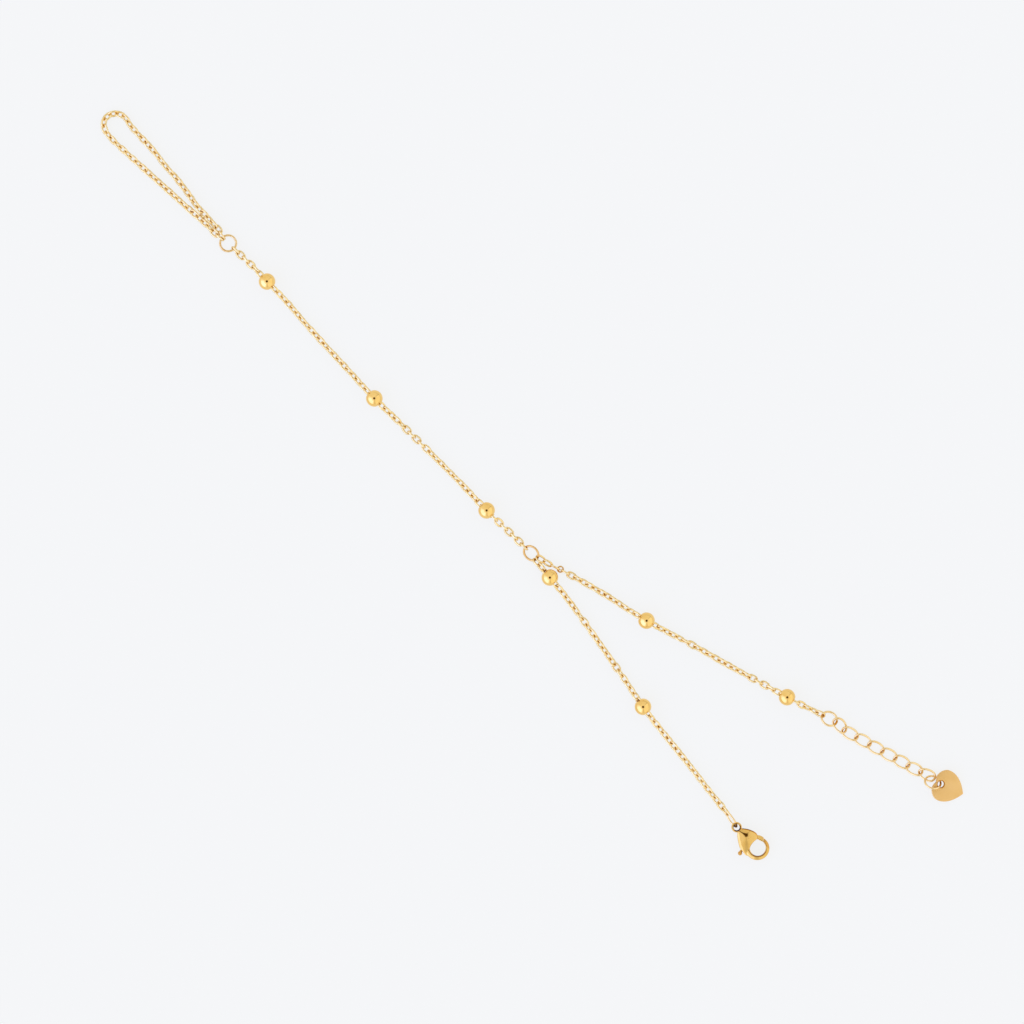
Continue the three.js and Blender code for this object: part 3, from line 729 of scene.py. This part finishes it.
clampLever = {
    "pivot": (2.9, 0.3),
    "gateReach": 2.8,
    "gateClearance": 0.04,
    "gate": [(3.1, 0.5), (3.5, 1.1), (4.1, 1.45), (4.8, 1.66), (5.5, 1.84)],
    "gateWidth": 0.92,
    "gateSection": (0.5, 0.36),  # power and taper of its section, as for the hook
    "gateShoulder": (4.26, 4.5),  # here the gate grows to its full thickness, just outside the slot
    "gateRoot": 0.76,  # its thickness inside the slot as a share of the full one
    "thick": 1.0,
    # Its outline runs from the pin's far side down the arm, round the tab, out along the gate, over its tip
    # and back. Stretches of one point are corners, and those of three are bends: a start, a pull and an end.
    "armEdge": [
        [(2.27, 0.25), (2.3, -0.15), (2.6, -0.42)], [(2.6, -0.42)],
        [(3.42, -2.2), (3.55, -2.55), (3.46, -2.85)],
    ],
    "tabArc": ((3.88, -3.1), 0.42, 150, 380, 16),  # centre, radius, bearings and count of points
    "innerEdge": [
        [(4.25, -2.2), (3.7, -1.0), (3.66, 0.1)], [(3.66, 0.1), (3.85, 0.85), (4.5, 1.12)], [(4.5, 1.12)],
    ],
    "tipArc": (24, 40.5, 5),  # bearings from the pivot and count of points
    "tipBend": [(4.5, 2.08), (4.05, 1.82)],  # pull and end of a bend that starts where the arc ends
    "outerEdge": [
        [(4.05, 1.82)], [(3.35, 1.24), (2.95, 0.98), (2.62, 0.88)], [(2.62, 0.88), (2.3, 0.7), (2.27, 0.25)],
    ],
    "armThick": 0.62,
    "armEnd": -1.75,  # the flat plate stops here, inside the slot
    "armInset": 0.1,
    "tab": [  # plan and width
        (3.62, -1.6, 0.5), (3.62, -2.2, 0.46), (3.64, -2.55, 0.5), (3.74, -2.85, 0.68),
        (3.86, -3.08, 0.84), (3.93, -3.28, 0.76), (3.97, -3.42, 0.5), (3.99, -3.5, 0.15),
    ],
    "tabThick": 1.3,  # for each millimetre of its width, up to the lever's own thickness
    # how much darker the thumb tab's colour is
    "tabDarkening": 0.3,
    "tabFade": (-2.2, 0.3),
    "smoothing": 4,
    "pinRadius": 0.3,
    "pinSides": 32,
    "pinFlush": 0.004,  # how far its heads lie below the drop's face
    "pinRim": 0.012,  # how far the rim of a head lies below its middle
    "pinPlay": (0.006, 0.02),  # in the body and in the lever
}

# The body is cut open for the lever: a slot for the gate, a thinner one for the arm, and the gate's way in.
claspSlots = {
    "thick": 1.12,
    "foot": [(2.1, -0.9), (4.42, -0.9)],
    "arcFrom": -1.22,  # y at which the side that follows the gate's tip starts
    "arcTo": 58.0,
    "back": [(3.86, 2.6), (3.78, 1.72), (3.3, 1.34), (2.8, 1.08), (2.1, 1.0)],
    "arm": [(2.1, -4.0), (4.42, -4.0), (4.42, -0.8), (2.1, -0.8)],
    "armThick": 0.74,
    "way": [(4.2, 2.9), (4.8, 1.2)],
    "wayFrom": 19.0,
    "through": 6.0,  # a cut this thick goes right through
}


def claspPlace(points):
    return points @ turned(lobsterClasp["turn"]).T + (*lobsterClasp["eye"], lobsterClasp["height"])


def smoothLoop(points, steps):
    # Closed smooth curve through the points.
    loop = np.array(points, float)
    wrapped = np.vstack([loop[-2:], loop, loop[:3]])
    curve = planCurve(wrapped, steps)
    return curve[2 * steps:(2 + len(loop)) * steps]


def nearestOnLine(points, start, end):
    # The nearest point of a straight line, and its share of the way along it.
    start, along = np.array(start), np.array(end) - np.array(start)
    share = np.clip((points - start) @ along / (along @ along), 0, 1)[:, None]
    return start + share * along, share


def faceFall(clasp, distance, share):
    # With d the distance from the ridge and w the rounding of its top there, the face lies
    # its slope times (sqrt(d^2 + w^2) - w) below the ridge.
    narrow, wide = clasp["ridgeRounding"]
    rounding = narrow + (wide - narrow) * share ** clasp["ridgeWidens"]
    return clasp["faceSlope"] * (np.sqrt(distance**2 + rounding**2) - rounding)


def dropSurface(clasp):
    # From every point of the ridge the face runs out to the outline. With r the share of the way to the rim,
    # the height is the half thickness, less the fall of the face, times (1 - r^n)^(1/n), and the same below.
    alongSteps, outSteps = clasp["dropSteps"]
    outline = smoothLoop(clasp["drop"], alongSteps)
    ridge, share = nearestOnLine(outline, *clasp["ridge"])
    r = np.sin(np.linspace(0.02, 1, outSteps) * np.pi / 2)
    distance = r[:, None, None] * np.linalg.norm(outline - ridge, axis=1)[None, :, None]
    # Along the lower edge a steeper flank starts a little way inside the rim.
    flankWidth, flankSlope = clasp["flank"]
    endY, endX = clasp["flankFades"]
    below = fade(outline[:, 1], *endY) * fade(outline[:, 0], *endX)
    onFlank = distance - distance[-1:] + flankWidth * below[None, :, None]
    fall = faceFall(clasp, distance, share[None]) + flankSlope * np.clip(onFlank, 0, None)
    power = clasp["rimPower"]
    height = (clasp["halfThick"] - fall) * (1 - np.clip(r, 0, 1)[:, None, None] ** power) ** (1 / power)
    height = np.concatenate([height, -height[-2::-1]])
    r = np.concatenate([r, clasp["draft"] * r[-2::-1]])
    ring = ridge + (outline - ridge)[None] * r[:, None, None]
    return np.concatenate([ring, height], 2).reshape(-1, 3), cappedFaces(len(r), len(outline))


def hookSurface(clasp):
    # A flattened round bar bent round the mouth, thinner towards its tip.
    steps, sides = clasp["hookSteps"]
    share = np.linspace(0, 1, steps)[:, None]
    outward = superPower(np.cos(fullTurn(sides)), clasp["hookPower"])[None, :]
    upward = superPower(np.sin(fullTurn(sides)), clasp["hookPower"])[None, :]
    angle = np.radians(np.interp(share, (0, 1), clasp["hookBearings"]))
    width = np.interp(share, (0, 1), clasp["hookWidth"])
    thick = np.interp(share, (0, 0.25, 1), clasp["hookThick"])
    radius = clasp["hookInner"] + width / 2 * (1 + outward)
    x = clasp["hookCentre"][0] + radius * np.cos(angle)
    y = clasp["hookCentre"][1] + radius * np.sin(angle)
    z = thick / 2 * upward * (1 - clasp["hookTaper"] * outward)
    return np.stack([x, y, z], -1).reshape(-1, 3), cappedFaces(steps, sides)


def eyeSurface(clasp):
    # A ring whose section is an upright oval.
    middle, wall = (clasp["eyeOuter"] + clasp["eyeHole"]) / 2, clasp["eyeOuter"] - clasp["eyeHole"]
    steps, sides = clasp["eyeSteps"]
    turn, around = fullTurn(steps)[:, None], fullTurn(sides)[None, :]
    radius = middle + wall / 2 * np.cos(around)
    z = clasp["eyeThick"] / 2 * np.sin(around) + 0 * turn
    points = np.stack([radius * np.cos(turn), radius * np.sin(turn), z], -1).reshape(-1, 3)
    return points, gridFaces(steps, sides)


def arcPoints(centre, radius, start, end, count):
    angle = np.radians(np.linspace(start, end, count))
    return [(centre[0] + radius * math.cos(a), centre[1] + radius * math.sin(a)) for a in angle]


def prismSurface(outline, thick):
    # An outline carried straight up, closed by one face at each end.
    loop = np.array(outline, float)
    points = np.vstack([np.column_stack([loop, np.full(len(loop), z)]) for z in (-thick / 2, thick / 2)])
    return points, cappedFaces(2, len(loop))


def workObject(name, surfaces):
    # One object in millimetres made of closed surfaces, for joining and cutting.
    points, faces, start = [], [], 0
    for surfacePoints, surfaceFaces in surfaces:
        points.append(surfacePoints)
        faces += [[i + start for i in face] for face in surfaceFaces]
        start += len(surfacePoints)
    mesh = bpy.data.meshes.new(name)
    mesh.from_pydata(np.vstack(points).tolist(), [], faces)
    faceOutwards(mesh)
    made = bpy.data.objects.new(name, mesh)
    bpy.context.scene.collection.objects.link(made)
    return made


def castMesh(surfaces, smoothing, cuts, within=None):
    # A fine remesh makes one skin of the surfaces, which is softened, kept within a solid and cut by others.
    made = workObject("cast", surfaces)
    join = made.modifiers.new("join", "REMESH")
    join.mode, join.voxel_size = "VOXEL", castSkin["voxel"]
    soften = made.modifiers.new("soften", "SMOOTH")
    soften.iterations, soften.factor = smoothing, castSkin["softness"]
    tools = [("INTERSECT", within)] if within else []
    tools += [("DIFFERENCE", cut) for cut in cuts]
    working = [made]
    for operation, surface in tools:
        working.append(workObject("tool", [surface]))
        trim = made.modifiers.new("trim", "BOOLEAN")
        trim.operation, trim.solver, trim.object = operation, "EXACT", working[-1]
    graph = bpy.context.evaluated_depsgraph_get()
    mesh = bpy.data.meshes.new_from_object(made.evaluated_get(graph))
    for used in working:
        bpy.data.objects.remove(used)
    shadeSmooth(mesh, castSkin["sharpAbove"])
    return mesh


def finishCasting(mesh, darkness):
    # Sets the crevice values worked out from the clasp's own frame, and puts the mesh in its place.
    points = np.empty(len(mesh.vertices) * 3)
    mesh.vertices.foreach_get("co", points)
    points = points.reshape(-1, 3)
    setDarkening(mesh, darkness(points))
    mesh.vertices.foreach_set("co", (claspPlace(points) * millimetre).ravel())
    mesh.update()
    return mesh


def bodyShade(points):
    # Painted shade on the eye's inner side next to the drop, on the mouth's inner side away from the gate
    # and along the drop's upper edge.
    clasp, shade = lobsterClasp, claspShade
    x, y = points[:, 0], points[:, 1]
    reach, width = shade["eye"]
    eyeSide = fade(np.hypot(x, y), clasp["eyeHole"] + reach, width) * fade(-x, 0, shade["eyeFront"])
    across = points[:, :2] - clasp["hookCentre"]
    bearing = np.degrees(np.arctan2(across[:, 1], across[:, 0]))
    reach, width = shade["mouth"]
    mouthSide = fade(np.hypot(*across.T), clasp["hookInner"] + reach, width)
    mouthSide *= np.interp(bearing, *shade["mouthBearings"])
    upper = [place for place in clasp["drop"] if place[1] > shade["edgeFrom"] and place[0] < shade["edgeTo"]]
    fromEdge = np.interp(x, *np.array(upper)[::-1].T) - y
    upperEdge = fade(fromEdge, *shade["edge"]) * np.interp(x, *shade["edgeAlong"]) * (y > shade["edgeFrom"])
    return np.maximum.reduce([eyeSide, mouthSide, upperEdge])


def pinBore(lever, play):
    circle = arcPoints(lever["pivot"], lever["pinRadius"] + play, 0, 360, 25)[:-1]
    return prismSurface(circle, claspSlots["through"])


def claspBodyMesh(clasp, lever, slots):
    pivot, reach = lever["pivot"], lever["gateReach"] + lever["gateClearance"]
    low, high = slots["arcFrom"], slots["arcTo"]
    lowAngle = math.degrees(math.asin((low - pivot[1]) / reach))
    slot = slots["foot"] + [(slots["foot"][-1][0], low)]
    slot += arcPoints(pivot, reach, lowAngle, high, 24) + slots["back"]
    way = slots["way"] + arcPoints(pivot, reach, slots["wayFrom"], high, 18)
    cuts = [
        prismSurface(slot, slots["thick"]), prismSurface(slots["arm"], slots["armThick"]),
        prismSurface(way, slots["through"]), pinBore(lever, lever["pinPlay"][0]),
    ]
    surfaces = [dropSurface(clasp), hookSurface(clasp), eyeSurface(clasp)]
    return finishCasting(castMesh(surfaces, clasp["smoothing"], cuts), bodyShade)


def drawn(stretches, count=6):
    # Points along corners and bends; a bend's own end is left to the stretch that follows.
    points, t = [], np.linspace(0, 1, count, endpoint=False)[:, None]
    for stretch in stretches:
        if len(stretch) == 3:
            start, pull, end = np.array(stretch)
            stretch = (1 - t) ** 2 * start + 2 * t * (1 - t) * pull + t * t * end
        points += list(stretch)
    return points


def leverOutline(lever):
    tip = arcPoints(lever["pivot"], lever["gateReach"], *lever["tipArc"])
    outline = drawn(lever["armEdge"]) + arcPoints(*lever["tabArc"]) + drawn(lever["innerEdge"])
    return np.array(outline + tip[:-1] + drawn([[tip[-1], *lever["tipBend"]], *lever["outerEdge"]]))


def barSurface(line, widths, thick, power=1.0, taper=0.0, sides=24):
    # A bar along a plan line whose section is an oval as wide as given and as thick,
    # thinner towards its left side.
    along = unit(np.gradient(line, axis=0))
    across = np.column_stack([-along[:, 1], along[:, 0]])
    sideways, upward = (superPower(wave(fullTurn(sides)), power) for wave in (np.cos, np.sin))
    half = np.asarray(widths)[:, None] / 2 * sideways
    z = np.asarray(thick)[:, None] / 2 * upward * (1 - taper * sideways)
    plan = line[:, None] + across[:, None] * half[..., None]
    return np.concatenate([plan, z[..., None]], 2).reshape(-1, 3), cappedFaces(len(line), sides)


def leverMesh(lever):
    # A gate bar, a plate round the pin and a drop-shaped thumb tab, joined and trimmed to one outline.
    gate = planCurve(lever["gate"], 8)
    gateThick = lever["thick"] * np.interp(gate[:, 0], lever["gateShoulder"], (lever["gateRoot"], 1))
    outline = leverOutline(lever)
    arm = insetLoop(outline, lever["armInset"])
    arm = arm[arm[:, 1] > lever["armEnd"]]
    tab = np.array(lever["tab"])
    surfaces = [
        barSurface(gate, np.full(len(gate), lever["gateWidth"]), gateThick, *lever["gateSection"]),
        prismSurface(arm, lever["armThick"]),
        barSurface(tab[:, :2], tab[:, 2], np.minimum(tab[:, 2] * lever["tabThick"], lever["thick"])),
    ]
    bore = pinBore(lever, lever["pinPlay"][1])
    mesh = castMesh(surfaces, lever["smoothing"], [bore], within=prismSurface(outline, 2 * lever["thick"]))
    return finishCasting(mesh, lambda points: lever["tabDarkening"] * fade(points[:, 1], *lever["tabFade"]))


def pinMesh(lever, clasp):
    # A rivet whose two heads are ground off level with the drop's faces, a little rounded at the rim.
    spread = np.array([0.001, 0.35, 0.7, 0.93, 1.0])  # loops across a head as shares of its radius
    rimDrop = np.where(spread < 1, 0, lever["pinRim"])
    across = np.concatenate([spread, spread[::-1]])[:, None] * lever["pinRadius"]
    angle = fullTurn(lever["pinSides"])[None, :]
    x = lever["pivot"][0] + across * np.cos(angle)
    y = lever["pivot"][1] + across * np.sin(angle)
    plan = np.stack([x, y], -1).reshape(-1, 2)
    ridge, share = nearestOnLine(plan, *clasp["ridge"])
    distance = np.linalg.norm(plan - ridge, axis=1)[:, None]
    level = clasp["halfThick"] - faceFall(clasp, distance, share) - lever["pinFlush"]
    level = level.reshape(x.shape) - np.concatenate([rimDrop, rimDrop[::-1]])[:, None]
    z = level * np.repeat((-1, 1), len(spread))[:, None]
    points = claspPlace(np.stack([x, y, z], -1).reshape(-1, 3))
    return makeMesh("pin", points, cappedFaces(*x.shape), sharpAbove=40)


body = claspBodyMesh(lobsterClasp, clampLever, claspSlots)
addPiece("cast_clasp", body, "claspGold", ["clasp_body"])
addPiece("cast_lever", leverMesh(clampLever), "claspGold", ["clasp_lever"], body="lever")
addPiece("rivet_pin", pinMesh(clampLever, lobsterClasp), "claspGold", ["clasp_pin"])

endLink = {
    "halfLength": 1.66, "halfWidth": 0.84, "wire": 0.38, "squareness": 2.0,
    "bearing": -10.7, "roll": 65, "pastEye": -0.12, "steps": 56, "sides": 12,
    "shade": 0.95, "shadeFade": (1.0, 0.25),  # how dark the painted shadow is in the eye, and where that ends
}


def endLinkMesh(link):
    line = linkCentreline(link["halfLength"], link["halfWidth"], link["squareness"], link["steps"])
    bearing, reach = math.radians(link["bearing"]), link["halfLength"] - link["pastEye"]
    eye = lobsterClasp["eye"]
    centre = (eye[0] - reach * math.cos(bearing), eye[1] - reach * math.sin(bearing), lobsterClasp["height"])
    tube = tubeRound(line, link["wire"], link["sides"])
    points = tube @ turned(link["bearing"], 0, link["roll"]).T + centre
    mesh = makeMesh("endLink", points, gridFaces(link["steps"], link["sides"]))
    # Painted shadow on the part of the link that lies in the clasp's eye.
    setDarkening(mesh, link["shade"] * fade(np.hypot(*(points[:, :2] - eye).T), *link["shadeFade"]))
    return mesh


addPiece("oval_end_link", endLinkMesh(endLink), "ringGold", ["clasp_end_link"])
print("clasp made")


# Floor and light.

studio = {
    "floorHalf": 4000.0,
    "floorColour": (0.915, 0.92, 0.92),
    "floorGlow": 0.9,  # share of the floor's brightness that no shadow can darken
    "floorRoughness": 0.9,
    "overhead": (1.0, 1.0, 1.0),  # light from the top of the tent
    # Light from low down by azimuth in degrees from +X: one side is a bright, cool panel.
    "panels": [
        (-180, (0.93, 0.93, 0.93)), (-164, (0.93, 0.93, 0.93)), (-130, (1.4, 1.65, 2.85)),
        (-68, (1.4, 1.65, 2.85)), (-52, (1.0, 1.0, 1.0)), (-20, (1.12, 1.12, 1.12)),
        (82, (1.12, 1.12, 1.12)), (94, (0.93, 0.93, 0.93)), (180, (0.93, 0.93, 0.93)),
    ],
    "fullPanel": (0.66, 0.985),  # height of the direction where a panel gives way to the even top
    "seams": ((-38, 0.68), (90, 0.74)),  # azimuth of each seam between panels, and how dark it is
    "seamHalf": 12.0,
    "seamTop": (0.9, 0.97),  # heights of the direction between which the seams fade out
    "doorway": ((23, 43), (127, 147)),  # azimuths over which a dark opening low down comes in and ends
    "doorHeight": (0.0, 0.16),
    "doorDark": 0.75,
    "lensHole": (18.2, 13.0),  # degrees from straight overhead between which a dark hole comes in
    "lensColour": (0.1, 0.055, 0.01),  # what little light comes from there is brown
}


def makeFloor(setting):
    half = setting["floorHalf"]
    corners = [(-half, -half, 0), (half, -half, 0), (half, half, 0), (-half, half, 0)]
    mesh = makeMesh("floor", corners, [[0, 1, 2, 3]])
    floor = bpy.data.objects.new("floor", mesh)
    bpy.context.scene.collection.objects.link(floor)
    material = bpy.data.materials.new("paleFloor")
    material.use_nodes = True
    glow = setting["floorGlow"]
    feed(material.node_tree.nodes["Principled BSDF"], {
        "Base Color": (*[c * (1 - glow) for c in setting["floorColour"]], 1.0),
        "Emission Color": (*setting["floorColour"], 1.0),
        "Emission Strength": glow,
        "Roughness": setting["floorRoughness"],
        "Specular IOR Level": 0.0,
    })
    mesh.materials.append(material)


def makeSky(setting):
    # A white tent of panels joined by seams that run up to a small dark hole straight above. A ramp holds
    # nothing above 1, so colours are kept as a share of the brightest, and the strength puts that back.
    brightest = 10.0
    world = bpy.data.worlds.new("tent")
    bpy.context.scene.world = world
    world.use_nodes = True
    nodes = world.node_tree.nodes
    split = nodes.new("ShaderNodeSeparateXYZ")
    feed(split, {"Vector": nodes.new("ShaderNodeTexCoord").outputs["Generated"]})

    def rising(low, high):
        # 0 up to the low height of the direction, 1 from the high one, and smooth between.
        node = nodes.new("ShaderNodeMapRange")
        node.interpolation_type = "SMOOTHSTEP"
        feed(node, {"Value": split.outputs["Z"], "From Min": low, "From Max": high})
        return node.outputs["Result"]

    def combine(kind, a, b):
        node = nodes.new("ShaderNodeMath")
        node.operation = kind
        feed(node, {0: a, 1: b})
        return node.outputs["Value"]

    def byAzimuth(stops):
        node = nodes.new("ShaderNodeValToRGB")
        elements = node.color_ramp.elements
        while len(elements) < len(stops):
            elements.new(0.5)
        for element, (azimuth, colour) in zip(elements, stops):
            element.position, element.color = azimuth / 360 + 0.5, colour
        feed(node, {"Fac": share})
        return node.outputs["Color"]

    def byDarkness(stops):
        whole = ((-180, 1.0), *stops, (180, 1.0))
        return byAzimuth([(azimuth, (level, level, level, 1.0)) for azimuth, level in whole])

    def dimmed(colour):
        return (*[c / brightest for c in colour], 1.0)

    def blend(factor, a, b):
        node = nodes.new("ShaderNodeMix")
        node.data_type = "RGBA"
        feed(node, {"Factor": factor, "A": a, "B": b})
        return node.outputs["Result"]

    around = combine("ARCTAN2", split.outputs["Y"], split.outputs["X"])
    share = combine("ADD", combine("DIVIDE", around, 2 * math.pi), 0.5)
    half = setting["seamHalf"]
    seamStops = []
    for seam, dark in setting["seams"]:
        seamStops += [(seam - half, 1.0), (seam, dark), (seam + half, 1.0)]
    seams = combine("MAXIMUM", byDarkness(seamStops), rising(*setting["seamTop"]))
    dark = setting["doorDark"]
    doorStops = zip((*setting["doorway"][0], *setting["doorway"][1]), (1.0, dark, dark, 1.0))
    door = combine("MAXIMUM", byDarkness(doorStops), rising(*setting["doorHeight"]))
    strength = combine("MULTIPLY", combine("MULTIPLY", seams, door), brightest)

    panels = byAzimuth([(azimuth, dimmed(colour)) for azimuth, colour in setting["panels"]])
    tent = blend(rising(*setting["fullPanel"]), panels, dimmed(setting["overhead"]))
    hole = rising(*[math.cos(math.radians(angle)) for angle in setting["lensHole"]])
    colour = blend(hole, tent, dimmed(setting["lensColour"]))
    feed(nodes["Background"], {"Color": colour, "Strength": strength})


makeFloor(studio)
makeSky(studio)
bpy.context.scene.view_settings.view_transform = "Standard"
print("studio made")
